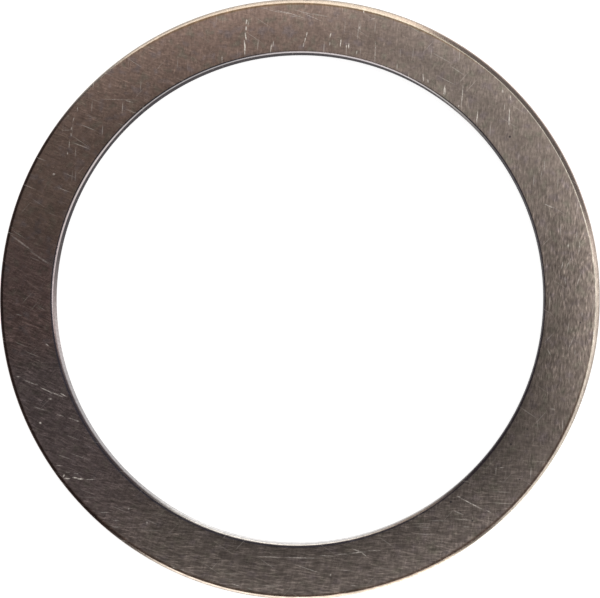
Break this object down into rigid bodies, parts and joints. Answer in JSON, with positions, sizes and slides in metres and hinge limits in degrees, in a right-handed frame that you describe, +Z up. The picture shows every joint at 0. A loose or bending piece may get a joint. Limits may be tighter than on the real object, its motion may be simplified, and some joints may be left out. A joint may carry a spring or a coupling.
{
  "type": "shim ring",
  "caption": "Flat ground-steel shim ring with a plain round bore and softly broken edges, laid between parts on a shaft to take up an axial gap.",
  "frame": {"origin": "centre of the bore on the lower face, which the ring lies on", "axes": "+Z up along the bore axis, through the upper face; X and Y lie in the lower face and are interchangeable, because the ring is round"},
  "size_m": [0.055, 0.055, 0.002],
  "materials": {
    "ground_steel": "warm grey steel, lapped flat in crossing strokes, with fine scratches and light handling stains"
  },
  "bodies": {
    "root": {"shim_ring": "ground_steel"}
  },
  "joints": []
}
